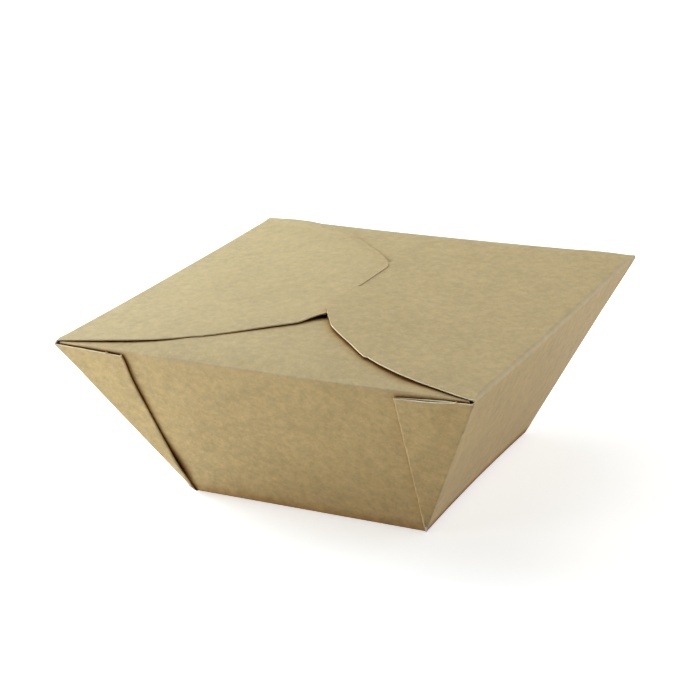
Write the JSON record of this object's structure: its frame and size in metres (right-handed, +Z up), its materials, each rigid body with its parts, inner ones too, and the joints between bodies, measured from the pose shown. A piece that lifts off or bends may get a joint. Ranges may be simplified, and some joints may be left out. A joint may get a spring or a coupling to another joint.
{
  "type": "takeaway box",
  "caption": "Folded kraft board takeaway box with flaring walls, folded corner webs and wide top flaps that lock along an S-shaped line.",
  "frame": {"origin": "middle of the base, on the table", "axes": "+Z up, -Y towards the front wall that carries the folded webs, +X along the front wall to the right"},
  "size_m": [0.17, 0.172, 0.0754],
  "materials": {
    "kraft_board": "matte"
  },
  "bodies": {
    "tray": {"carton": "kraft_board"},
    "left_flap": {"left_flap": "kraft_board"},
    "right_flap": {"right_flap": "kraft_board"}
  },
  "joints": [
    {"name": "left_fold", "type": "hinge", "parent": "tray", "child": "left_flap", "pos_m": [-0.085, 0, 0.07], "axis": [0, -1, 0], "range_deg": [0, 175]},
    {"name": "right_fold", "type": "hinge", "parent": "tray", "child": "right_flap", "pos_m": [0.085, 0, 0.07], "axis": [0, 1, 0], "range_deg": [0, 175]}
  ],
  "couplings": [
    {"joint": "right_fold", "follows": "left_fold", "ratio": 1}
  ]
}
